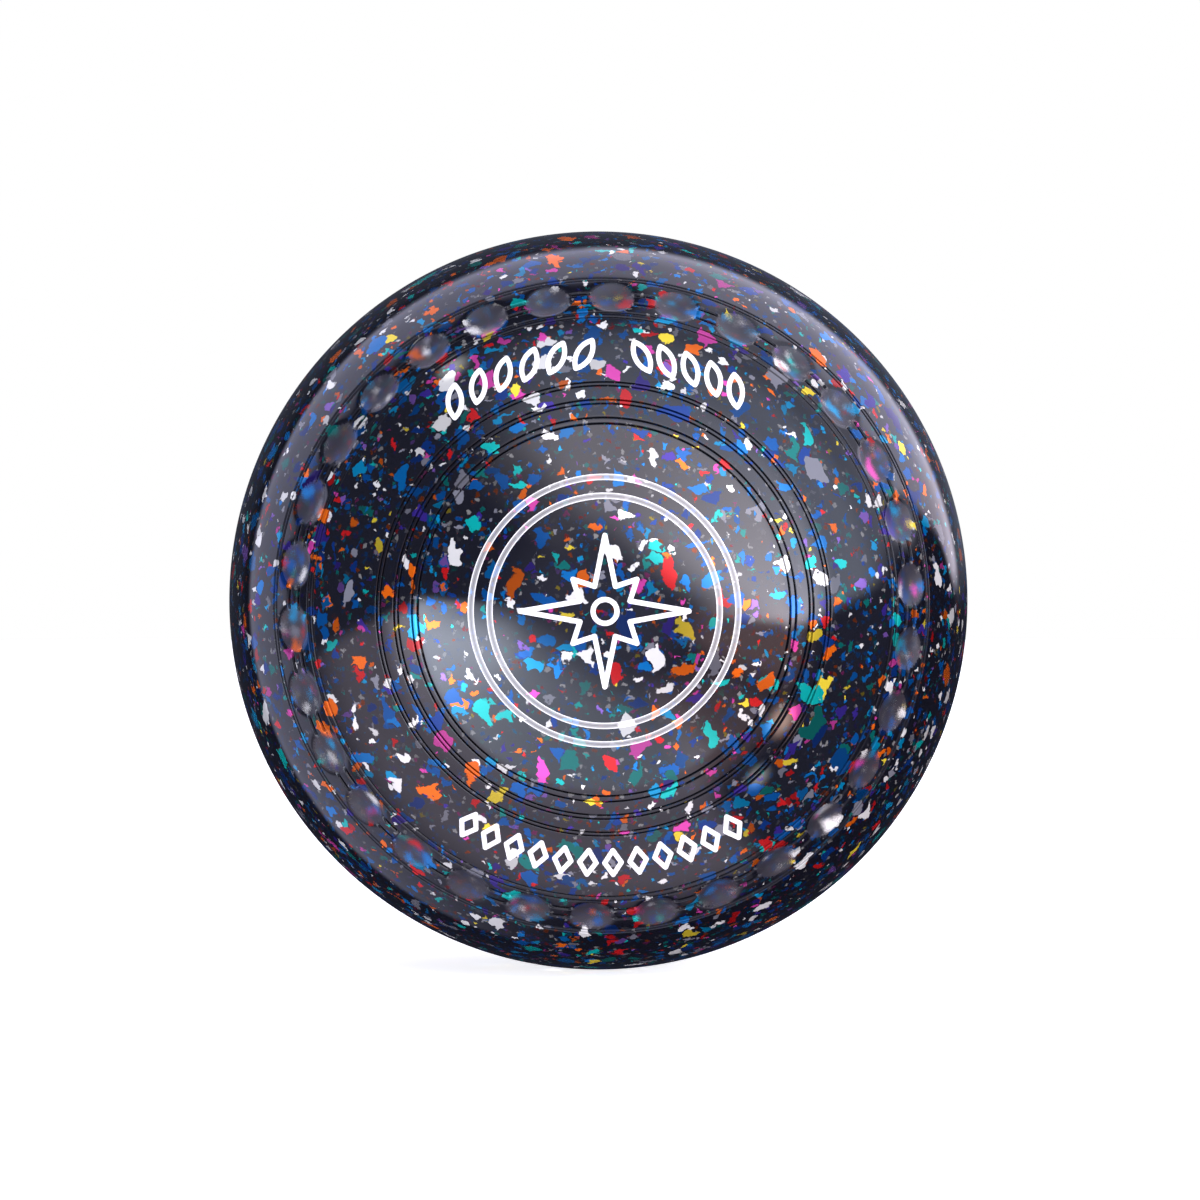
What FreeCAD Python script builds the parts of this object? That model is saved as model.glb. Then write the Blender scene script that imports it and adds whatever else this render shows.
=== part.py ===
import FreeCAD, Part
import os
from math import cos, pi, radians, sin, sqrt

os.makedirs("parts", exist_ok=True)

# A lawn bowl standing on its running surface, in millimetres.
# The axis of rotation is Y, the front face looks towards -Y, and +Z is up.
# The origin lies on the axis, midway between the two faces.

# Body of revolution: a domed face on each side, joined to the running surface by a rounded shoulder
RUNNING_RADIUS = 62.5
HALF_WIDTH = 58.25
FACE_RADIUS = 66.0
SOLE_RADIUS = 61.5
SHOULDER_RADIUS = 26.0
CROWN_Y = -0.5
SHELL_THICKNESS = 8.0

# V-shaped grooves on both faces, by their radius from the axis. The first two families run all the
# way round, and the last is only cut into the lands between the finger dimples.
FACE_GROOVES = {"radii": [29.9, 30.85, 33.1, 33.75, 36.0, 36.6], "width": 0.4, "depth": 0.4}
GRIP_EDGE_GROOVES = {"radii": [47.2, 48.0, 53.3, 53.75], "width": 0.5, "depth": 0.45}
LAND_GROOVES = {"radii": [49.65, 51.15], "width": 0.9, "depth": 0.9}
LAND_GROOVE_CLEARANCE = 3.0

# Finger dimples, in one ring on each face
DIMPLE_COUNT = 30
DIMPLE_RING_RADIUS = 50.65
DIMPLE_DIAMETER = 7.4
DIMPLE_DEPTH = 0.75
DIMPLE_PHASE = 1.9

# Engraved marks, drawn flat in the plane of the face and filled with enamel
STROKE = 0.8
ENGRAVING_DEPTH = 0.5
ENAMEL_CROWN = 0.03
RING_WIDTH = 1.0
FRONT_RINGS = {"outer": 21.35, "inner": 18.35}
REAR_RINGS = {"outer": 27.3, "inner": 24.25}

# Compass star: long points across, long points up and down, short points between, and the valleys
STAR_ACROSS = 13.4
STAR_UP = 12.05
STAR_SHORT = 7.2
STAR_VALLEY = 4.3
STAR_EYE = 1.9

# Borders of leaves above the star and of lozenges below it, at angles clockwise from the top
BORDER_RADIUS = 41.15
BORDER_HEIGHT = 5.0
LEAF_WIDTH = 3.0
LEAF_LEAN = 35.0
LOZENGE_WIDTH = 3.5
LEFT_LEAVES = {"count": 6, "first": 324.4, "pitch": 6.25, "lean": LEAF_LEAN}
RIGHT_LEAVES = {"count": 5, "first": 8.7, "pitch": 5.65, "lean": -LEAF_LEAN}
LOZENGES = {"count": 12, "first": 149.4, "pitch": 5.68}

FRONT = -1
REAR = 1
ORIGIN = FreeCAD.Vector(0, 0, 0)
AXIS_Y = FreeCAD.Vector(0, 1, 0)
AXIS_Z = FreeCAD.Vector(0, 0, 1)


def at(x, y, z=0.0):
    return FreeCAD.Vector(x, y, z)


def shoulder_centre(side):
    """Centre of the arc that is tangent, from inside, to both the face dome and the sole."""
    face = at(0, side * (HALF_WIDTH - FACE_RADIUS))
    sole = at(RUNNING_RADIUS - SOLE_RADIUS, CROWN_Y)
    from_face = FACE_RADIUS - SHOULDER_RADIUS
    from_sole = SOLE_RADIUS - SHOULDER_RADIUS
    gap = sole - face
    along = (from_face**2 - from_sole**2 + gap.Length**2) / (2 * gap.Length)
    aside = sqrt(from_face**2 - along**2)
    unit = at(gap.x, gap.y).normalize()
    outward = at(side * unit.y, -side * unit.x)
    return face + unit * along + outward * aside


def on_circle(centre, through, radius):
    """The point on a circle where the ray from its centre through another point leaves it."""
    ray = through - centre
    return centre + ray.normalize() * radius


def arc(centre, start, end):
    middle = on_circle(centre, (start + end) * 0.5, (start - centre).Length)
    return Part.Arc(start, middle, end).toShape()


def side_edges(side, inset):
    """The face dome and the shoulder of one side, from the axis to the sole, and where they end."""
    face = at(0, side * (HALF_WIDTH - FACE_RADIUS))
    sole = at(RUNNING_RADIUS - SOLE_RADIUS, CROWN_Y)
    shoulder = shoulder_centre(side)
    pole = at(0, side * (HALF_WIDTH - inset))
    dome_end = face + (shoulder - face).normalize() * (FACE_RADIUS - inset)
    sole_end = sole + (shoulder - sole).normalize() * (SOLE_RADIUS - inset)
    edges = [arc(face, pole, dome_end), arc(shoulder, dome_end, sole_end)]
    return edges, pole, sole_end


def half_profile(inset):
    """The half section of the bowl, as a flat face beside the axis, shrunk inwards by inset."""
    front, front_pole, front_end = side_edges(FRONT, inset)
    rear, rear_pole, rear_end = side_edges(REAR, inset)
    sole = at(RUNNING_RADIUS - SOLE_RADIUS, CROWN_Y)
    axis = Part.LineSegment(rear_pole, front_pole).toShape()
    edges = front + [arc(sole, front_end, rear_end)] + rear + [axis]
    return Part.Face(Part.Wire(Part.__sortEdges__(edges)))


def turned(inset):
    return half_profile(inset).revolve(ORIGIN, AXIS_Y, 360)


def face_point(side, radius):
    """The point of the half section on the face dome at a distance from the axis."""
    height = HALF_WIDTH - FACE_RADIUS + sqrt(FACE_RADIUS**2 - radius**2)
    return at(radius, side * height)


def dome_normal(side, foot):
    dome = at(0, side * (HALF_WIDTH - FACE_RADIUS))
    return (foot - dome).normalize()


def groove_sections(side, radii, width, depth):
    """The pointed cutters that leave grooves of the stated width and depth, in the half section.

    Each cutter stands as far out of the face as it goes into it, and so is twice as wide at its top.
    """
    cutters = []
    for radius in radii:
        foot = face_point(side, radius)
        normal = dome_normal(side, foot)
        tangent = at(-normal.y, normal.x)
        tip = foot - normal * depth
        rise = normal * 2 * depth
        corners = [tip, tip + rise + tangent * width, tip + rise - tangent * width, tip]
        cutters.append(Part.Face(Part.makePolygon(corners)))
    return cutters


def grooved_blank():
    """The whole outer form with the grooves that run all the way round."""
    cutters = []
    for side in (FRONT, REAR):
        cutters += groove_sections(side, **FACE_GROOVES)
        cutters += groove_sections(side, **GRIP_EDGE_GROOVES)
    return half_profile(0).cut(cutters).revolve(ORIGIN, AXIS_Y, 360)


def around_grip(point):
    """A point of the half section, copied to the place of every finger dimple."""
    angles = [radians(DIMPLE_PHASE + index * 360 / DIMPLE_COUNT) for index in range(DIMPLE_COUNT)]
    return [at(point.x * sin(angle), point.y, point.x * cos(angle)) for angle in angles]


def land_groove_cutters(side):
    """Rings of groove, with a cylinder taken out of them wherever there is a finger dimple."""
    foot = face_point(side, DIMPLE_RING_RADIUS)
    normal = dome_normal(side, foot)
    starts = around_grip(foot - normal * LAND_GROOVE_CLEARANCE)
    ends = around_grip(foot + normal * LAND_GROOVE_CLEARANCE)
    gaps = []
    for start, end in zip(starts, ends):
        length = 2 * LAND_GROOVE_CLEARANCE
        gaps.append(Part.makeCylinder(DIMPLE_DIAMETER / 2, length, start, end - start))
    rings = [section.revolve(ORIGIN, AXIS_Y, 360) for section in groove_sections(side, **LAND_GROOVES)]
    return [ring.cut(gaps) for ring in rings]


def dimple_cutters(side):
    """Spheres that leave a round dimple of the stated diameter and depth in the grip band."""
    ball = (DIMPLE_DIAMETER**2 / 4 + DIMPLE_DEPTH**2) / (2 * DIMPLE_DEPTH)
    rim_drop = FACE_RADIUS - sqrt(FACE_RADIUS**2 - DIMPLE_DIAMETER**2 / 4)
    foot = face_point(side, DIMPLE_RING_RADIUS)
    centre = foot + dome_normal(side, foot) * (ball - DIMPLE_DEPTH - rim_drop)
    return [Part.makeSphere(ball, place) for place in around_grip(centre)]


def flat(x, z):
    """A point of a flat drawing of the face, seen from the front: x to the right and z up."""
    return at(x, 0, z)


def closed_outline(wire):
    """The band that a round cutter leaves as it follows a closed line."""
    outer = Part.Face(wire.makeOffset2D(STROKE / 2))
    inner = Part.Face(wire.makeOffset2D(-STROKE / 2))
    return outer.cut(inner)


def ring(radius, width):
    plane_normal = at(0, -1, 0)
    outer = Part.Wire(Part.Circle(ORIGIN, plane_normal, radius + width / 2).toShape())
    inner = Part.Wire(Part.Circle(ORIGIN, plane_normal, radius - width / 2).toShape())
    return Part.Face(outer).cut(Part.Face(inner))


def star():
    """An eight-pointed compass star, drawn in outline, with a small ring at its eye."""
    reach = [STAR_UP, STAR_SHORT, STAR_ACROSS, STAR_SHORT] * 2
    step = 2 * pi / len(reach)
    points = []
    for index, length in enumerate(reach):
        tip = index * step
        valley = tip + step / 2
        points.append(flat(length * sin(tip), length * cos(tip)))
        points.append(flat(STAR_VALLEY * sin(valley), STAR_VALLEY * cos(valley)))
    outline = closed_outline(Part.makePolygon(points + points[:1]))
    return [outline, ring(STAR_EYE, STROKE)]


def leaf():
    """A pointed oval, upright on the origin."""
    tip = flat(0, BORDER_HEIGHT / cos(radians(LEAF_LEAN)) / 2 - STROKE / 2)
    half_width = (LEAF_WIDTH - STROKE) / 2
    sides = [Part.Arc(tip, flat(bulge, 0), tip * -1).toShape() for bulge in (half_width, -half_width)]
    return closed_outline(Part.Wire(sides))


def lozenge():
    """An upright diamond on the origin."""
    up = (BORDER_HEIGHT - STROKE) / 2
    across = (LOZENGE_WIDTH - STROKE) / 2
    corners = [flat(0, up), flat(across, 0), flat(0, -up), flat(-across, 0), flat(0, up)]
    return closed_outline(Part.makePolygon(corners))


def border(motif, count, first, pitch, lean=0.0):
    """Copies of a motif along the border circle, each turned to face the centre of the bowl."""
    copies = []
    for index in range(count):
        angle = first + index * pitch
        copy = motif.copy()
        copy.rotate(ORIGIN, AXIS_Y, lean)
        copy.translate(flat(0, BORDER_RADIUS))
        copy.rotate(ORIGIN, AXIS_Y, angle)
        copies.append(copy)
    return copies


def marks(rings):
    """Every engraved mark of one face, as flat drawings."""
    drawings = {f"{name}_ring": [ring(radius, RING_WIDTH)] for name, radius in rings.items()}
    drawings["star"] = star()
    drawings["left_leaves"] = border(leaf(), **LEFT_LEAVES)
    drawings["right_leaves"] = border(leaf(), **RIGHT_LEAVES)
    drawings["lozenges"] = border(lozenge(), **LOZENGES)
    return drawings


def enamel(drawing, layer, side):
    """The enamel that fills an engraving: the drawing driven into the face, kept within a thin layer."""
    solids = []
    for flat_face in drawing:
        sheet = flat_face.copy()
        sheet.translate(at(0, -RUNNING_RADIUS, 0))
        prism = sheet.extrude(at(0, RUNNING_RADIUS, 0))
        if side == REAR:
            prism.rotate(ORIGIN, AXIS_Z, 180)
        solids += prism.common(layer).Solids
    return Part.makeCompound(solids)


def write(name, shape):
    shape.exportStep(f"parts/{name}.step")
    print(name, len(shape.Solids), "solid(s)", round(shape.Volume, 2), "mm3", shape.isValid())


def main():
    core = turned(SHELL_THICKNESS)
    layer = turned(-ENAMEL_CROWN).cut(turned(ENGRAVING_DEPTH))
    infills = {}
    for side, prefix, rings in ((FRONT, "front", FRONT_RINGS), (REAR, "rear", REAR_RINGS)):
        for name, drawing in marks(rings).items():
            infills[f"{prefix}_{name}_enamel"] = enamel(drawing, layer, side)
    shell = grooved_blank().cut(core)
    shell = shell.cut(land_groove_cutters(FRONT) + land_groove_cutters(REAR))
    shell = shell.cut(dimple_cutters(FRONT) + dimple_cutters(REAR))
    shell = shell.cut(list(infills.values()))
    write("core", core)
    write("shell", shell)
    for name, shape in infills.items():
        write(name, shape)


main()
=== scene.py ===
import math

import bmesh
import bpy
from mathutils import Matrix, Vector


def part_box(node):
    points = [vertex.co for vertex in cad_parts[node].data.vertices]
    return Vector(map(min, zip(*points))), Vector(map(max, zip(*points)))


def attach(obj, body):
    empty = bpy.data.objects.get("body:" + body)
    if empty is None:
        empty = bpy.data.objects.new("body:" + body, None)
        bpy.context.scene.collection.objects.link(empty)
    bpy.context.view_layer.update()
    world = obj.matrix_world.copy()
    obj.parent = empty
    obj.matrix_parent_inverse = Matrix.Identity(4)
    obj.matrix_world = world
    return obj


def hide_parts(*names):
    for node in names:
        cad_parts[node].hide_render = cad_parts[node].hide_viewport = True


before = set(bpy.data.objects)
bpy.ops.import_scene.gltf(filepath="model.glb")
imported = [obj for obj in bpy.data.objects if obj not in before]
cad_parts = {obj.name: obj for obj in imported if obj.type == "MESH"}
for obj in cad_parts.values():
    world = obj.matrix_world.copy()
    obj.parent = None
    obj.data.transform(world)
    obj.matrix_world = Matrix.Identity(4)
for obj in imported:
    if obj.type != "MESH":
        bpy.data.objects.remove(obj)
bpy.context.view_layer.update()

MM = 0.001
FRONT = -1
REAR = 1

# The bowl's form, in metres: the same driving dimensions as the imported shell
SHELL_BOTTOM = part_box("shell")[0].z
RUNNING_RADIUS = 62.5 * MM
HALF_WIDTH = 58.25 * MM
FACE_RADIUS = 66.0 * MM
SOLE_RADIUS = 61.5 * MM
SHOULDER_RADIUS = 26.0 * MM
CROWN_Y = -0.5 * MM
SHELL_THICKNESS = 8.0 * MM

# V-shaped grooves as (distance from the axis, width, depth). The shell's pieces meet at the bottoms of
# the two seam grooves of each face.
INNER_SEAM, OUTER_SEAM = 47.2 * MM, 53.75 * MM
FACE_GROOVES = [
    (radius * MM, 0.4 * MM, 0.4 * MM) for radius in (29.9, 30.85, 33.1, 33.75, 36.0, 36.6)
]
GRIP_EDGE_GROOVES = [
    (radius, 0.5 * MM, 0.45 * MM) for radius in (INNER_SEAM, 48.0 * MM, 53.3 * MM, OUTER_SEAM)
]
LAND_GROOVES = [(radius * MM, 0.9 * MM, 0.9 * MM) for radius in (49.65, 51.15)]

# A groove's lips are rounded, by rows of points that lie this far outwards from its ideal edge
LIP_SOFTNESS = 0.03 * MM
LIP_STEPS = [step * MM for step in (-0.09, -0.04, -0.01, 0.02, 0.06, 0.12)]
CLOSEST_ROWS = 0.006 * MM
# How deep a groove is where its painted shade is darkest
FULL_SHADE_DEPTH = 0.15 * MM

# Finger dimples: spherical, on a circle about the axis
DIMPLE_COUNT = 30
DIMPLE_RING_RADIUS = 50.65 * MM
DIMPLE_DIAMETER = 7.4 * MM
DIMPLE_DEPTH = 0.75 * MM
DIMPLE_RIM_SOFTNESS = 0.16 * MM
DIMPLE_PHASE = math.radians(1.9)

# Enamel rings, in millimetres: the middle of each band, and the width of all of them
RING_RADII = [21.35, 18.35, 27.3, 24.25]
RING_WIDTH = 1.0

# Mesh density: how many points go round, and the widest step along the section. The inside and the end
# walls are coarser than the outside.
FINE = 720
COARSE = 360
INNER = 180
FACE_STEP = 1.5 * MM
GRIP_STEP = 0.42 * MM
SOLE_STEP = 1.6 * MM
INNER_STEP = 4.0 * MM
WALL_START, WALL_STEP = 0.3, 0.2

# Camera: its distance, how far round to the left and up it stands from the axis, and where it aims
CAMERA_DISTANCE = 0.9
CAMERA_LEFT = math.radians(1.04)
CAMERA_UP = math.radians(1.72)
CAMERA_LENS = 159.0
AIM_RIGHT = 0.28 * MM
AIM_UP = 0.07 * MM


# ---------------------------------------------------------------- section of the bowl

def face_centre(side):
    """Centre of a face dome, as (distance from the axis, y)."""
    return Vector((0, side * (HALF_WIDTH - FACE_RADIUS)))


SOLE_CENTRE = Vector((RUNNING_RADIUS - SOLE_RADIUS, CROWN_Y))
SAME_TURN = 1e-9


def shoulder_centre(side):
    """Centre of the arc that touches both the face dome and the sole from inside."""
    face = face_centre(side)
    from_face = FACE_RADIUS - SHOULDER_RADIUS
    from_sole = SOLE_RADIUS - SHOULDER_RADIUS
    gap = SOLE_CENTRE - face
    along = (from_face**2 - from_sole**2 + gap.length**2) / (2 * gap.length)
    aside = math.sqrt(from_face**2 - along**2)
    unit = gap.normalized()
    return face + unit * along + Vector((side * unit.y, -side * unit.x)) * aside


def turn_of(vector):
    """The angle of a direction in the section, from 0 at the front pole to pi at the rear pole."""
    return math.atan2(vector.x, -vector.y)


def section_arcs():
    """The arcs of the section in order, each as (centre, radius, turn at which it ends)."""
    front, rear = shoulder_centre(FRONT), shoulder_centre(REAR)
    return [
        (face_centre(FRONT), FACE_RADIUS, turn_of(front - face_centre(FRONT))),
        (front, SHOULDER_RADIUS, turn_of(front - SOLE_CENTRE)),
        (SOLE_CENTRE, SOLE_RADIUS, turn_of(rear - SOLE_CENTRE)),
        (rear, SHOULDER_RADIUS, turn_of(rear - face_centre(REAR))),
        (face_centre(REAR), FACE_RADIUS, math.pi),
    ]


ARCS = section_arcs()


def section_arc(turn):
    """Centre and radius of the arc on which a turn lies."""
    for centre, radius, end in ARCS:
        if turn <= end:
            return centre, radius
    return ARCS[-1][:2]


def section_point(turn, depth=0.0):
    """A point of the section, as (distance from the axis, y), set in from the surface by depth."""
    centre, radius = section_arc(turn)
    return centre + Vector((math.sin(turn), -math.cos(turn))) * (radius - depth)


def groove_turn(side, radius):
    """The turn at which a face dome reaches a distance from the axis."""
    turn = math.asin(radius / FACE_RADIUS)
    return turn if side == FRONT else math.pi - turn


def groove_depth(turn, side, grooves):
    """How far V-shaped grooves with rounded lips cut in at a turn of the section."""
    deepest = 0.0
    for radius, width, depth in grooves:
        aside = abs(turn - groove_turn(side, radius)) * FACE_RADIUS
        drop = depth * (1 - 2 * aside / width)
        deepest = max(deepest, (drop + math.hypot(drop, LIP_SOFTNESS)) / 2)
    return deepest


def groove_rows(side, grooves):
    """Rows that draw grooves, each as (turn, depth, whether it is a groove's sharp bottom line)."""
    places = []
    for radius, width, _ in grooves:
        middle = groove_turn(side, radius)
        places.append((middle, True))
        for step in LIP_STEPS:
            aside = (width / 2 + step) / FACE_RADIUS
            places += [(middle - aside, False), (middle + aside, False)]
    rows = []
    for turn, sharp in sorted(places):
        row = (turn, groove_depth(turn, side, grooves), sharp)
        if rows and turn - rows[-1][0] < CLOSEST_ROWS / FACE_RADIUS:
            if sharp:
                rows[-1] = row
            continue
        rows.append(row)
    return rows


def between(rows, start, end):
    """The rows from one turn to another, with both ends."""
    return [row for row in rows if start - SAME_TURN < row[0] < end + SAME_TURN]


def filled(rows, step):
    """The same rows in order, with plain ones added wherever two stand further apart than a step."""
    rows = sorted(rows)
    result = [rows[0]]
    for before, after in zip(rows, rows[1:]):
        radius = section_arc((before[0] + after[0]) / 2)[1]
        parts = max(1, math.ceil((after[0] - before[0]) * radius / step))
        for part in range(1, parts):
            share = part / parts
            turn = before[0] + (after[0] - before[0]) * share
            result.append((turn, before[1] + (after[1] - before[1]) * share, False))
        result.append(after)
    return result


# ---------------------------------------------------------------- finger dimples

DIMPLE_BALL = (DIMPLE_DIAMETER**2 / 4 + DIMPLE_DEPTH**2) / (2 * DIMPLE_DEPTH)
RIM_DROP = FACE_RADIUS - math.sqrt(FACE_RADIUS**2 - DIMPLE_DIAMETER**2 / 4)


def smooth(value, low, high):
    """A soft step from 0 at the low value to 1 at the high one."""
    if high <= low:
        return 1.0 if value >= low else 0.0
    share = min(1.0, max(0.0, (value - low) / (high - low)))
    return share * share * (3 - 2 * share)


def around(radius, y, angle):
    """A point at an angle about the Y axis, clockwise from the top as seen from the front."""
    return Vector((radius * math.sin(angle), y, radius * math.cos(angle)))


def dimpled(point, side):
    """Where a point of the face dome goes if it lies in a dimple, and how far in the dimple it is.

    The dimple's rim is rounded. Grooves that meet a dimple stop at it.
    """
    centre = Vector((0, face_centre(side).y, 0))
    reach = (point - centre).normalized()
    pitch = math.tau / DIMPLE_COUNT
    angle = round((math.atan2(point.x, point.z) - DIMPLE_PHASE) / pitch) * pitch + DIMPLE_PHASE
    dome_y = section_point(groove_turn(side, DIMPLE_RING_RADIUS)).y
    foot = around(DIMPLE_RING_RADIUS, dome_y, angle)
    middle = (foot - centre).normalized()
    ball = centre + middle * (FACE_RADIUS + DIMPLE_BALL - DIMPLE_DEPTH - RIM_DROP)
    along = reach.dot(ball - centre)
    aside = (ball - centre).length_squared - along**2
    if aside > DIMPLE_BALL**2:
        return point, 0.0
    drop = FACE_RADIUS - along + math.sqrt(DIMPLE_BALL**2 - aside)
    rounded = (drop + math.hypot(drop, DIMPLE_RIM_SOFTNESS)) / 2
    if drop > 0:
        point = centre + reach * FACE_RADIUS
    return point - reach * rounded, smooth(drop, 0.0, DIMPLE_RIM_SOFTNESS)


# ---------------------------------------------------------------- meshes of the shell

def ring_of(mesh, turn, depth, count, side=None, groove_shade=0.0):
    """One ring of points. Each notes how far it lies in a groove, which weights the painted shade there,
    and how far in a dimple.
    """
    groove, dimple = mesh.verts.layers.float["groove"], mesh.verts.layers.float["dimple"]
    radius, y = section_point(turn, depth)
    ring = []
    for k in range(count):
        point, frosted = around(radius, y, math.tau * k / count), 0.0
        if side is not None:
            point, frosted = dimpled(point, side)
        vertex = mesh.verts.new(point)
        vertex[groove] = groove_shade * (1 - frosted)
        vertex[dimple] = frosted
        ring.append(vertex)
    return ring


def bridge(mesh, first, second):
    """Faces between two rings of points, where one may have twice as many as the other."""
    a, b = len(first), len(second)
    if a < b:
        first, second, a, b = second, first, b, a
    if a == b:
        for k in range(a):
            n = (k + 1) % a
            mesh.faces.new((first[k], first[n], second[n], second[k]))
        return
    for k in range(b):
        n = (k + 1) % b
        left, middle, right = first[2 * k], first[2 * k + 1], first[(2 * k + 2) % a]
        mesh.faces.new((left, middle, second[k]))
        mesh.faces.new((middle, right, second[n], second[k]))


def cap(mesh, ring, tip):
    """A fan of faces from a ring to a point of the axis."""
    top = mesh.verts.new((0, tip, 0))
    for k, vertex in enumerate(ring):
        mesh.faces.new((vertex, ring[(k + 1) % len(ring)], top))


def mark_sharp(ring):
    """Makes the line along a ring a sharp one."""
    for k, vertex in enumerate(ring):
        following = ring[(k + 1) % len(ring)]
        for edge in vertex.link_edges:
            if edge.other_vert(vertex) == following:
                edge.smooth = False


def shell_piece(name, rows, counts, dimples_on=None):
    """One closed length of the shell between two turns: its outside, its inside and its end walls.

    Rows are (turn, depth, sharp) along the outside, and counts says how many points each has. A row at
    turn 0 or pi is a pole of the bowl.
    """
    mesh = bmesh.new()
    mesh.verts.layers.float.new("groove")
    mesh.verts.layers.float.new("dimple")
    first_turn, last_turn = rows[0][0], rows[-1][0]
    outer, lines = [], []
    for (turn, depth, sharp), count in zip(rows, counts):
        if turn in (0.0, math.pi):
            continue
        # The groove weight grows with the groove's depth and darkens the colour there as painted shade
        outer.append(ring_of(mesh, turn, depth, count, dimples_on, smooth(depth, 0, FULL_SHADE_DEPTH)))
        if sharp:
            lines.append(outer[-1])
    inner = []
    for turn, _, _ in filled([(first_turn, 0.0, False), (last_turn, 0.0, False)], INNER_STEP):
        if 0.0 < turn < math.pi:
            inner.append(ring_of(mesh, turn, SHELL_THICKNESS, INNER))
    for rings in (outer, inner):
        for one, two in zip(rings, rings[1:]):
            bridge(mesh, one, two)
    for end, turn in ((0, first_turn), (-1, last_turn)):
        if turn in (0.0, math.pi):
            cap(mesh, outer[end], section_point(turn).y)
            cap(mesh, inner[end], section_point(turn, SHELL_THICKNESS).y)
            continue
        wall = [outer[end]]
        while len(wall[-1]) > INNER:
            depth = SHELL_THICKNESS * (WALL_START + WALL_STEP * len(wall))
            wall.append(ring_of(mesh, turn, depth, len(wall[-1]) // 2))
        wall.append(inner[end])
        for one, two in zip(wall, wall[1:]):
            bridge(mesh, one, two)
        lines += [outer[end], inner[end]]
    for line in lines:
        mark_sharp(line)
    bmesh.ops.recalc_face_normals(mesh, faces=mesh.faces)
    for face in mesh.faces:
        face.smooth = True
    data = bpy.data.meshes.new(name)
    mesh.to_mesh(data)
    mesh.free()
    piece = bpy.data.objects.new(name, data)
    bpy.context.scene.collection.objects.link(piece)
    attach(piece, "root")
    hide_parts("shell")
    return piece


def face_piece(side):
    """The domed middle of one face, out to the seam groove at the inner edge of the grip band."""
    seam = groove_turn(side, INNER_SEAM)
    start, end = (0.0, seam) if side == FRONT else (seam, math.pi)
    grooves = between(groove_rows(side, FACE_GROOVES + GRIP_EDGE_GROOVES), start, end)
    pole = (0.0 if side == FRONT else math.pi, 0.0, False)
    rows = filled([pole] + grooves, FACE_STEP)
    counts = [COARSE] * len(rows)
    counts[-1 if side == FRONT else 0] = FINE
    name = "shell_front_face" if side == FRONT else "shell_rear_face"
    return shell_piece(name, rows, counts)


def grip_piece(side):
    """The band of finger dimples on one face, between its two seam grooves."""
    start, end = sorted([groove_turn(side, INNER_SEAM), groove_turn(side, OUTER_SEAM)])
    grooves = between(groove_rows(side, GRIP_EDGE_GROOVES + LAND_GROOVES), start, end)
    rows = filled(grooves, GRIP_STEP)
    name = "shell_front_grip" if side == FRONT else "shell_rear_grip"
    return shell_piece(name, rows, [FINE] * len(rows), side)


def sole_piece():
    """The running surface and both shoulders."""
    start, end = groove_turn(FRONT, OUTER_SEAM), groove_turn(REAR, OUTER_SEAM)
    grooves = groove_rows(FRONT, GRIP_EDGE_GROOVES) + groove_rows(REAR, GRIP_EDGE_GROOVES)
    arc_ends = [(turn, 0.0, False) for _, _, turn in ARCS[:-1]]
    rows = filled(between(grooves, start, end) + arc_ends, SOLE_STEP)
    counts = [COARSE] * len(rows)
    counts[0] = counts[-1] = FINE
    return shell_piece("shell_running_surface", rows, counts)


# ---------------------------------------------------------------- node helpers

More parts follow.
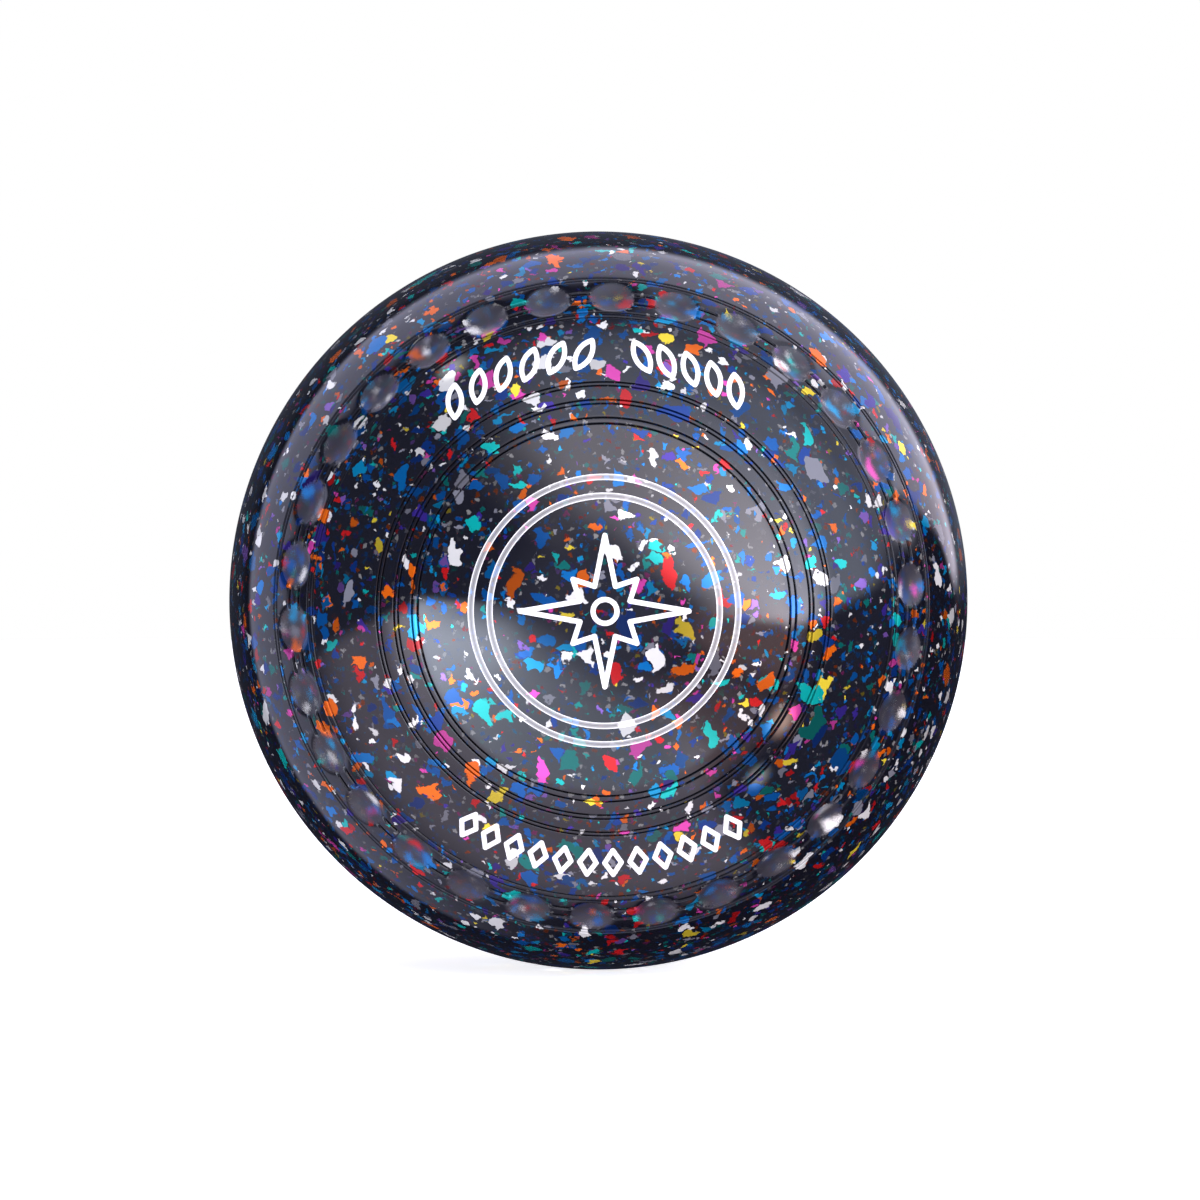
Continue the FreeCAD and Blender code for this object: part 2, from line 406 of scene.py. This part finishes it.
class Nodes:
    """A short way of writing a material's nodes."""

    def __init__(self, name):
        self.material = bpy.data.materials.new(name)
        self.material.use_nodes = True
        self.tree = self.material.node_tree
        self.tree.nodes.clear()

    def node(self, kind, **settings):
        made = self.tree.nodes.new(kind)
        for key, value in settings.items():
            setattr(made, key, value)
        return made

    def feed(self, socket, value):
        """Links a socket to an output, or sets it to a plain value."""
        if isinstance(value, bpy.types.NodeSocket):
            self.tree.links.new(value, socket)
        else:
            socket.default_value = value

    def math(self, operation, a, b=0.0, c=0.0, clamp=False):
        made = self.node("ShaderNodeMath", operation=operation, use_clamp=clamp)
        for socket, value in zip(made.inputs, (a, b, c)):
            self.feed(socket, value)
        return made.outputs[0]

    def vector(self, operation, a, b=(0, 0, 0)):
        made = self.node("ShaderNodeVectorMath", operation=operation)
        self.feed(made.inputs[0], a)
        self.feed(made.inputs[1], b)
        return made.outputs["Value" if operation in ("LENGTH", "DOT_PRODUCT") else "Vector"]

    def scaled(self, vector, factor):
        made = self.node("ShaderNodeVectorMath", operation="SCALE")
        self.feed(made.inputs[0], vector)
        self.feed(made.inputs["Scale"], factor)
        return made.outputs["Vector"]

    def mix(self, factor, a, b):
        made = self.node("ShaderNodeMix", data_type="RGBA")
        self.feed(made.inputs["Factor"], factor)
        self.feed(made.inputs[6], a)
        self.feed(made.inputs[7], b)
        return made.outputs[2]

    def ramp(self, factor, stops, interpolation="LINEAR"):
        """A colour from a list of (position, colour)."""
        made = self.node("ShaderNodeValToRGB")
        ramp = made.color_ramp
        ramp.interpolation = interpolation
        while len(ramp.elements) > 1:
            ramp.elements.remove(ramp.elements[-1])
        ramp.elements[0].position, ramp.elements[0].color = stops[0]
        for position, colour in stops[1:]:
            ramp.elements.new(position).color = colour
        self.feed(made.inputs[0], factor)
        return made.outputs[0]

    def noise(self, vector, scale, detail, colour=False):
        made = self.node("ShaderNodeTexNoise")
        self.feed(made.inputs["Vector"], vector)
        self.feed(made.inputs["Scale"], scale)
        self.feed(made.inputs["Detail"], detail)
        return made.outputs["Color" if colour else "Fac"]

    def voronoi(self, vector, scale, feature="F1"):
        made = self.node("ShaderNodeTexVoronoi", feature=feature)
        self.feed(made.inputs["Vector"], vector)
        self.feed(made.inputs["Scale"], scale)
        return made

    def step_between(self, value, low, high):
        """0 below low, 1 above high, and a straight line between them."""
        made = self.node("ShaderNodeMapRange", clamp=True)
        for socket, given in zip(made.inputs, (value, low, high, 0.0, 1.0)):
            self.feed(socket, given)
        return made.outputs[0]

    def surface(self, **inputs):
        """Finishes the material with one shader, whose inputs are named with _ for each space."""
        shader = self.node("ShaderNodeBsdfPrincipled")
        for key, value in inputs.items():
            self.feed(shader.inputs[key.replace("_", " ")], value)
        out = self.node("ShaderNodeOutputMaterial")
        self.tree.links.new(shader.outputs[0], out.inputs[0])
        return self.material


def srgb(red, green, blue):
    """A colour given in 0 to 255 display values, as the linear values that nodes take."""
    linear = []
    for value in (red / 255, green / 255, blue / 255):
        linear.append(value / 12.92 if value <= 0.04045 else ((value + 0.055) / 1.055) ** 2.4)
    return (*linear, 1.0)


# ---------------------------------------------------------------- speckled resin

# The resin between the chips drifts between two near-blacks
RESIN_BLACK = srgb(9, 9, 14)
RESIN_DUSK = srgb(14, 14, 22)
RESIN_CLOUDS = 0.12
RESIN_IOR = 1.5
# A noise colour's mean, taken off so that it pushes both ways
MIDDLE_OF_NOISE = (0.5, 0.5, 0.5)
CHIP_COLOURS = [
    # share of the chips, colour
    (0.19, srgb(0, 72, 132)),
    (0.09, srgb(0, 104, 168)),
    (0.07, srgb(0, 126, 166)),
    (0.105, srgb(6, 46, 108)),
    (0.045, srgb(2, 100, 92)),
    (0.042, srgb(6, 170, 160)),
    (0.108, srgb(222, 220, 212)),
    (0.087, srgb(100, 100, 106)),
    (0.055, srgb(50, 34, 118)),
    (0.03, srgb(112, 78, 150)),
    (0.04, srgb(196, 62, 146)),
    (0.07, srgb(220, 98, 10)),
    (0.05, srgb(184, 22, 24)),
    (0.018, srgb(232, 206, 54)),
]
CHIP_LAYERS = [
    # cell size in mm, share of the cells that hold a chip, brightness, gap at a cell's edge, stretch
    (0.75, 0.27, 0.16, 0.02, (1.0, 1.0, 1.0)),
    (0.6, 0.025, 1.0, 0.02, (1.2, 1.0, 0.8)),
    (0.95, 0.042, 1.0, 0.02, (0.8, 1.0, 1.3)),
    (1.35, 0.088, 1.0, 0.02, (1.3, 1.0, 0.8)),
    (1.9, 0.125, 1.0, 0.03, (0.8, 1.0, 1.2)),
    (2.7, 0.1, 1.0, 0.04, (1.2, 1.0, 0.85)),
    (3.8, 0.02, 1.0, 0.06, (0.85, 1.0, 1.15)),
]
# Each layer is cut from its own part of space, this far on from the last, in millimetres
LAYER_OFFSET = (13.7, -6.3, 8.9)
# How far a chip's colour fades at its edge, in millimetres
CHIP_FADE = 0.11
# What makes a chip's outline ragged: how fine, how detailed and how far, with a cell as the unit
RAGGED_SCALE, RAGGED_DETAIL, RAGGED_REACH = 1.1, 3.0, 1.3
# A chip's colour is multiplied by something between the lowest shade and that plus the spread
LOWEST_SHADE, SHADE_SPREAD = 0.42, 0.7

# How strongly a coloured chip tints what it reflects, and how vivid its colour is where that starts and
# where it is full
CHIP_SHEEN = 0.5
SHEEN_START, SHEEN_FULL = 0.02, 0.08

# The frosted surface of a dimple scatters what lies under it: by how much, and how fine its grain is.
# In the dimples the colour is also brightened a little and paled towards grey: painted sheen for the
# light that their frosted face spreads.
FROST_SCATTER = 2.4
FROST_GRAIN = 14.0
FROST_SHEEN_GAIN = 0.15
FROST_SHEEN_COLOUR, FROST_SHEEN_SHARE = srgb(86, 78, 88), 0.1
# Painted shade: down in the grooves the colour is darkened towards near-black, where their V-walls shade
# it
GROOVE_SHADE_COLOUR, GROOVE_SHADE_SHARE = srgb(6, 6, 9), 0.45

# Roughness of the polish, and what wear, frosting and the grooves add to it
POLISHED, WORN, FROSTED, GROOVE_ROUGHNESS = 0.04, 0.05, 0.42, 0.08
WEAR_SCALE, WEAR_DETAIL = 0.35, 5.0


def chip_palette():
    """The chips' colours as the stops of a ramp from 0 to 1."""
    stops, reached = [], 0.0
    for share, colour in CHIP_COLOURS:
        stops.append((reached, colour))
        reached += share
    return stops


def chips(n, place):
    """The colour of the resin with its chips, at a place in millimetres."""
    colour = n.mix(n.noise(place, RESIN_CLOUDS, 2.0), RESIN_BLACK, RESIN_DUSK)
    for index, (cell, share, brightness, gap, stretch) in enumerate(CHIP_LAYERS):
        offset = tuple(part * (index + 1) for part in LAYER_OFFSET)
        ragged = n.noise(place, RAGGED_SCALE / cell, RAGGED_DETAIL, colour=True)
        ragged = n.vector("SUBTRACT", ragged, MIDDLE_OF_NOISE)
        ragged = n.vector("MULTIPLY", ragged, (RAGGED_REACH * cell,) * 3)
        moved = n.vector("ADD", n.vector("ADD", place, offset), ragged)
        moved = n.vector("MULTIPLY", moved, stretch)
        cells = n.voronoi(moved, 1 / cell)
        edges = n.voronoi(moved, 1 / cell, "DISTANCE_TO_EDGE")
        hashed = n.node("ShaderNodeSeparateColor")
        n.feed(hashed.inputs[0], cells.outputs["Color"])
        chosen = n.math("LESS_THAN", hashed.outputs[0], share)
        clear = n.step_between(edges.outputs["Distance"], gap, gap + CHIP_FADE / cell)
        mask = n.math("MULTIPLY", chosen, clear)
        picked = n.ramp(hashed.outputs[1], chip_palette(), "CONSTANT")
        spread, lowest = SHADE_SPREAD * brightness, LOWEST_SHADE * brightness
        shade = n.math("MULTIPLY_ADD", hashed.outputs[2], spread, lowest)
        colour = n.mix(mask, colour, n.scaled(picked, shade))
    return colour


def place_in_mm(n):
    """Where a point of the surface lies in the object's own frame, in millimetres."""
    coordinates = n.node("ShaderNodeTexCoord").outputs["Object"]
    return n.vector("MULTIPLY", coordinates, (1000, 1000, 1000))


def attribute(n, name):
    """A number that the mesh holds at its points."""
    return n.node("ShaderNodeAttribute", attribute_name=name).outputs["Fac"]


def speckled_resin():
    """Polished near-black resin with coloured chips, frosted in the dimples, with painted sheen in the
    dimples and painted shade in the grooves.
    """
    n = Nodes("speckled_resin")
    place = place_in_mm(n)
    groove, frosted = attribute(n, "groove"), attribute(n, "dimple")
    grain = n.vector("SUBTRACT", n.noise(place, FROST_GRAIN, 0.0, colour=True), MIDDLE_OF_NOISE)
    scatter = n.scaled(grain, n.math("MULTIPLY", frosted, FROST_SCATTER))
    colour = chips(n, n.vector("ADD", place, scatter))
    # Painted sheen: in the dimples the colour is brightened and paled towards grey
    colour = n.scaled(colour, n.math("MULTIPLY_ADD", frosted, FROST_SHEEN_GAIN, 1.0))
    colour = n.mix(n.math("MULTIPLY", frosted, FROST_SHEEN_SHARE), colour, FROST_SHEEN_COLOUR)
    # Painted shade: the grooves are darkened towards near-black
    colour = n.mix(n.math("MULTIPLY", groove, GROOVE_SHADE_SHARE), colour, GROOVE_SHADE_COLOUR)
    wear = n.noise(place, WEAR_SCALE, WEAR_DETAIL)
    roughness = n.math("MULTIPLY_ADD", wear, WORN, POLISHED)
    roughness = n.math("MULTIPLY_ADD", frosted, FROSTED, roughness)
    roughness = n.math("MULTIPLY_ADD", groove, GROOVE_ROUGHNESS, roughness)
    vivid = n.node("ShaderNodeSeparateColor", mode="HSV")
    n.feed(vivid.inputs[0], colour)
    strength = n.math("MULTIPLY", vivid.outputs[1], vivid.outputs[2])
    sheen = n.math("MULTIPLY", n.step_between(strength, SHEEN_START, SHEEN_FULL), CHIP_SHEEN)
    return n.surface(Base_Color=colour, Roughness=roughness, Metallic=sheen, IOR=RESIN_IOR)


# ---------------------------------------------------------------- enamel and core

RING_WHITE = srgb(232, 230, 224)
# How far the enamel of a ring covers the resin, from the middle of its band (0) to its edge (1); the peak
# near the edge is partly enamel run up the walls and partly a painted highlight where the edges catch
# light
RING_COVER_AND_EDGE_GLINT = [(0.0, 0.18), (0.12, 0.2), (0.26, 0.31), (0.6, 0.31), (0.84, 0.92)]


def from_axis(n, place):
    """The distance from the bowl's axis, in millimetres."""
    return n.vector("LENGTH", n.vector("MULTIPLY", place, (1, 0, 1)))


def ring_enamel():
    """Thin translucent enamel with the resin showing between: white near the band's edges, partly as
    enamel run up the walls and partly as a painted highlight where the edges catch light.
    """
    n = Nodes("ring_enamel")
    place = place_in_mm(n)
    radius = from_axis(n, place)
    apart = [n.math("ABSOLUTE", n.math("SUBTRACT", radius, middle)) for middle in RING_RADII]
    nearest = apart[0]
    for other in apart[1:]:
        nearest = n.math("MINIMUM", nearest, other)
    share = n.math("DIVIDE", nearest, RING_WIDTH / 2)
    cover = n.ramp(share, [(position, (level, level, level, 1)) for position, level in RING_COVER_AND_EDGE_GLINT])
    streaks = n.noise(place, 2.2, 3.0)
    cover = n.math("MULTIPLY", cover, n.math("MULTIPLY_ADD", streaks, 0.16, 0.92), clamp=True)
    # White near the band's edges: partly enamel, partly a painted highlight
    colour = n.mix(cover, chips(n, place), RING_WHITE)
    roughness = n.math("MULTIPLY_ADD", streaks, 0.1, 0.2)
    return n.surface(Base_Color=colour, Roughness=roughness, IOR=RESIN_IOR)


def mark_enamel():
    """Solid satin white enamel with a faint mottle."""
    n = Nodes("mark_enamel")
    place = place_in_mm(n)
    mottle = n.noise(place, 1.5, 3.0)
    colour = n.mix(mottle, srgb(230, 228, 222), srgb(240, 238, 233))
    roughness = n.math("MULTIPLY_ADD", mottle, 0.15, 0.25)
    return n.surface(Base_Color=colour, Roughness=roughness, IOR=RESIN_IOR)


def core_resin():
    """Plain dark resin as it leaves the mould."""
    n = Nodes("core_resin")
    place = place_in_mm(n)
    mottle = n.noise(place, 0.4, 4.0)
    colour = n.mix(mottle, srgb(38, 34, 34), srgb(56, 50, 48))
    roughness = n.math("MULTIPLY_ADD", mottle, 0.2, 0.5)
    return n.surface(Base_Color=colour, Roughness=roughness)


# ---------------------------------------------------------------- the bowl

resin = speckled_resin()
pieces = [face_piece(FRONT), face_piece(REAR), grip_piece(FRONT), grip_piece(REAR), sole_piece()]
for piece in pieces:
    piece.data.materials.append(resin)

ring_material, mark_material, core_material = ring_enamel(), mark_enamel(), core_resin()
for name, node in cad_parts.items():
    material = core_material
    if name.endswith("_enamel"):
        material = ring_material if "ring" in name else mark_material
    for slot in node.material_slots:
        slot.material = material


# ---------------------------------------------------------------- camera, floor and light

TENT_RADIUS = 1.6
TENT_STEP = 1.5
FULL_TURN = 360
LEAST_SLANT = 0.2

# The light tent around the bowl, as soft panels that add up. Directions are polar degrees from the
# viewer's side and azimuth degrees clockwise from the top. Each panel runs from one azimuth to another
# and fades over "ends". Its inner and outer polar edges, their softness and its power are given at both
# ends, and "curve" bends how the power runs between them. A "strip" panel's inner edge is a straight
# line that lies square to an azimuth: it starts to glow at one polar angle and is full at another.
# "lean" shifts a panel's last azimuth for every degree of polar angle.
PANELS = [
    {"azimuth": (-46, 98), "ends": (36, 4), "strip": (34, 12, 29.5), "outer": (55.5, 55.5), "fade_out": 2,
     "power": (2.0, 9.2), "curve": 1.8, "lean": 0, "tint": (1.0, 0.95, 1.06)},
    {"azimuth": (-46, 98), "ends": (36, 4), "inner": (53.5, 53.5), "fade_in": 2, "outer": (92, 99),
     "fade_out": 20, "power": (1.05, 2.3), "curve": 1.2, "lean": -0.28, "tint": (0.92, 1.0, 1.25)},
    {"azimuth": (-46, 99.5), "ends": (30, 4), "inner": (53.5, 53.5), "fade_in": 2, "outer": (72, 72),
     "fade_out": 12, "power": (0.4, 6.5), "curve": 3.9, "lean": -0.26, "tint": (1.0, 0.96, 1.1)},
    {"azimuth": (130, 273), "ends": (20, 4), "strip": (207, 9, 31), "outer": (55.5, 55.5), "fade_out": 2,
     "power": (2.1, 10.0), "curve": 4.0, "lean": 0, "tint": (0.92, 1.0, 1.2)},
    {"azimuth": (-52, 14), "ends": (20, 24), "inner": (14, 14), "fade_in": 14, "outer": (55.5, 55.5),
     "fade_out": 2, "power": (0.7, 0.7), "curve": 1.0, "lean": 0, "tint": (1.0, 0.95, 1.06)},
    {"azimuth": (228, 268), "ends": (18, 14), "inner": (20, 20), "fade_in": 12, "outer": (55.5, 55.5),
     "fade_out": 2, "power": (1.9, 1.9), "curve": 1.0, "lean": 0, "tint": (0.92, 1.0, 1.2)},
    {"azimuth": (144, 270.5), "ends": (10, 4), "inner": (53.5, 53.5), "fade_in": 2, "outer": (112, 100),
     "fade_out": 24, "power": (1.15, 1.2), "curve": 1.0, "lean": -0.25, "tint": (1.08, 0.95, 1.12)},
    {"azimuth": (140, 270.5), "ends": (16, 4), "inner": (53.5, 53.5), "fade_in": 2, "outer": (68, 68),
     "fade_out": 10, "power": (0.45, 3.6), "curve": 6.0, "lean": -0.25, "tint": (1.0, 0.97, 1.12)},
    {"azimuth": (180, 359), "ends": (50, 0), "inner": (92, 104), "fade_in": 8, "outer": (128, 144),
     "fade_out": 8, "power": (0.6, 1.35), "curve": 1.0, "lean": 0, "tint": (1.0, 1.0, 1.35)},
    {"azimuth": (0, 70), "ends": (0, 0), "inner": (104, 100), "fade_in": 8, "outer": (144, 147),
     "fade_out": 6, "power": (1.35, 2.1), "curve": 1.0, "lean": 0, "tint": (1.02, 1.0, 1.28)},
    {"azimuth": (2, 84), "ends": (16, 8), "inner": (86, 86), "fade_in": 9, "outer": (112, 112),
     "fade_out": 8, "power": (0.9, 1.0), "curve": 1.0, "lean": 0, "tint": (1.0, 1.0, 1.2)},
    {"azimuth": (70, 92), "ends": (0, 6), "inner": (100, 140), "fade_in": 8, "outer": (147, 150),
     "fade_out": 6, "power": (2.1, 1.8), "curve": 1.0, "lean": 0, "tint": (1.05, 0.95, 1.15)},
    {"azimuth": (-130, 96), "ends": (60, 10), "inner": (138, 138), "fade_in": 10, "outer": (181, 181),
     "fade_out": 1, "power": (0.03, 0.14), "curve": 2.2, "lean": 0, "tint": (0.9, 1.0, 1.3)},
    {"azimuth": (86, 120), "ends": (12, 12), "inner": (18, 20), "fade_in": 16, "outer": (68, 68),
     "fade_out": 12, "power": (1.1, 1.1), "curve": 1.0, "lean": 0, "tint": (1.5, 0.92, 0.82)},
    {"azimuth": (112, 158), "ends": (14, 14), "inner": (28, 16), "fade_in": 18, "outer": (66, 70),
     "fade_out": 12, "power": (0.5, 1.1), "curve": 1.0, "lean": 0, "tint": (1.4, 0.93, 0.86)},
    {"azimuth": (0, 360), "ends": (0, 0), "inner": (-1, -1), "fade_in": 0.5, "outer": (36, 36),
     "fade_out": 26, "power": (0.42, 0.42), "curve": 1.0, "lean": 0, "tint": (0.95, 0.95, 1.3)},
    {"azimuth": (0, 360), "ends": (0, 0), "inner": (-1, -1), "fade_in": 0.5, "outer": (112, 112),
     "fade_out": 30, "power": (0.13, 0.13), "curve": 1.0, "lean": 0, "tint": (0.85, 0.95, 1.4)},
    {"azimuth": (0, 360), "ends": (0, 0), "inner": (-1, -1), "fade_in": 0.5, "outer": (181, 181),
     "fade_out": 1, "power": (0.02, 0.02), "curve": 1.0, "lean": 0, "tint": (0.8, 0.9, 1.4)},
]
# The polar angle at which a leaning panel has its stated last azimuth
LEAN_FROM = 54
LAMPS = [
    {"azimuth": 328, "polar": 88, "radius": 5, "power": 7.0, "tint": (1.0, 1.0, 1.0)},
    {"azimuth": 138, "polar": 71, "radius": 4.5, "power": 6.0, "tint": (1.0, 1.0, 1.0)},
    {"azimuth": 123, "polar": 64.5, "radius": 6, "power": 7.0, "tint": (1.5, 0.98, 0.8)},
]


def tent_point(polar, azimuth):
    """A point of the tent, from its direction in radians."""
    reach = TENT_RADIUS * math.sin(polar)
    return Vector((reach * math.sin(azimuth), -TENT_RADIUS * math.cos(polar), reach * math.cos(azimuth)))


def blend(pair, share):
    """A value part of the way from the first of a pair to the second."""
    return pair[0] + (pair[1] - pair[0]) * share


def panel_light(panel, polar, azimuth):
    """How brightly a panel glows in one direction, in degrees."""
    first, last = panel["azimuth"]
    last += panel["lean"] * (polar - LEAN_FROM)
    along, span = (azimuth - first) % FULL_TURN, last - first
    if along > span:
        return 0.0
    share = along / span
    power = blend(panel["power"], share ** panel["curve"])
    power *= smooth(along, 0, panel["ends"][0]) * smooth(span - along, 0, panel["ends"][1])
    if "strip" in panel:
        square, start, full = panel["strip"]
        slant = max(LEAST_SLANT, math.cos(math.radians(azimuth - square)))
        power *= smooth(polar * slant, start, full)
    else:
        inner = blend(panel["inner"], share)
        power *= smooth(polar, inner, inner + panel["fade_in"])
    outer = blend(panel["outer"], share)
    return power * (1 - smooth(polar, outer - panel["fade_out"], outer))


def lamp_light(lamp, polar, azimuth):
    """How brightly a small round lamp glows in one direction, in degrees."""
    aside = (azimuth - lamp["azimuth"]) * math.sin(math.radians(polar))
    away = math.hypot(aside, polar - lamp["polar"])
    return lamp["power"] * (1 - smooth(away, 0, lamp["radius"]))


def glow(polar, azimuth):
    """The colour that the tent gives off in one direction, in degrees."""
    total = Vector((0, 0, 0))
    for panel in PANELS:
        total += Vector(panel["tint"]) * panel_light(panel, polar, azimuth)
    for lamp in LAMPS:
        total += Vector(lamp["tint"]) * lamp_light(lamp, polar, azimuth)
    return total


def make_tent():
    """A closed dome that only lights the bowl and shows in its reflections."""
    down, across = round(FULL_TURN / 2 / TENT_STEP), round(FULL_TURN / TENT_STEP)
    mesh = bmesh.new()
    light = mesh.verts.layers.float_color.new("glow")
    rows = []
    for i in range(down + 1):
        row = []
        for k in range(1 if i in (0, down) else across):
            polar, azimuth = FULL_TURN / 2 * i / down, FULL_TURN * k / across
            vertex = mesh.verts.new(tent_point(math.radians(polar), math.radians(azimuth)))
            vertex[light] = (*glow(polar, azimuth), 1.0)
            row.append(vertex)
        rows.append(row)
    for upper, lower in zip(rows, rows[1:]):
        for k in range(across):
            n = (k + 1) % across
            above = [upper[k % len(upper)], upper[n % len(upper)]]
            below = [lower[n % len(lower)], lower[k % len(lower)]]
            mesh.faces.new(list(dict.fromkeys(above + below)))
    data = bpy.data.meshes.new("tent")
    mesh.to_mesh(data)
    mesh.free()
    n = Nodes("tent_light")
    lit = n.node("ShaderNodeAttribute", attribute_name="glow")
    lamp = n.node("ShaderNodeEmission")
    out = n.node("ShaderNodeOutputMaterial")
    n.feed(lamp.inputs["Color"], lit.outputs["Color"])
    n.feed(out.inputs["Surface"], lamp.outputs[0])
    data.materials.append(n.material)
    tent = bpy.data.objects.new("tent", data)
    bpy.context.scene.collection.objects.link(tent)
    tent.visible_camera = False


def make_world():
    """A white background, which lights nothing."""
    world = bpy.data.worlds.new("studio")
    bpy.context.scene.world = world
    world.use_nodes = True
    world.node_tree.nodes["Background"].inputs[0].default_value = (1, 1, 1, 1)
    world.node_tree.nodes["Background"].inputs[1].default_value = 1.0
    world.cycles_visibility.diffuse = False
    world.cycles_visibility.glossy = False
    world.cycles_visibility.transmission = False
    world.cycles_visibility.scatter = False


FLOOR_GLOW = 0.8
FLOOR_RADIUS = 1.5
FLOOR_POINTS = 96


def make_floor():
    """A pale disc under the bowl, which the bowl doesn't mirror."""
    angles = [math.tau * k / FLOOR_POINTS for k in range(FLOOR_POINTS)]
    rim = [(FLOOR_RADIUS * math.cos(t), FLOOR_RADIUS * math.sin(t), SHELL_BOTTOM) for t in angles]
    data = bpy.data.meshes.new("floor")
    data.from_pydata(rim, [], [tuple(range(len(rim)))])
    n = Nodes("floor_paper")
    grain = n.noise(place_in_mm(n), 0.5, 2.0)
    tone = n.mix(grain, (0.86, 0.86, 0.87, 1), (0.9, 0.9, 0.91, 1))
    data.materials.append(n.surface(
        Base_Color=tone, Roughness=0.9, Emission_Color=(1, 1, 1, 1), Emission_Strength=FLOOR_GLOW,
    ))
    floor = bpy.data.objects.new("floor", data)
    bpy.context.scene.collection.objects.link(floor)
    floor.visible_glossy = False
    floor.visible_diffuse = False
    floor.visible_shadow = False


def make_camera():
    """The view along the axis, from a little to the left and above."""
    data = bpy.data.cameras.new("camera")
    data.lens = CAMERA_LENS
    data.sensor_width = 36.0
    data.clip_start = 0.01
    camera = bpy.data.objects.new("camera", data)
    bpy.context.scene.collection.objects.link(camera)
    level = math.cos(CAMERA_UP)
    across, back = math.sin(CAMERA_LEFT) * level, math.cos(CAMERA_LEFT) * level
    direction = Vector((-across, -back, math.sin(CAMERA_UP)))
    camera.location = direction * CAMERA_DISTANCE
    aim = Vector((AIM_RIGHT, 0, AIM_UP)) - camera.location
    camera.rotation_euler = aim.to_track_quat("-Z", "Y").to_euler()
    bpy.context.scene.camera = camera


make_tent()
make_world()
make_floor()
make_camera()
bpy.context.scene.view_settings.view_transform = "Standard"
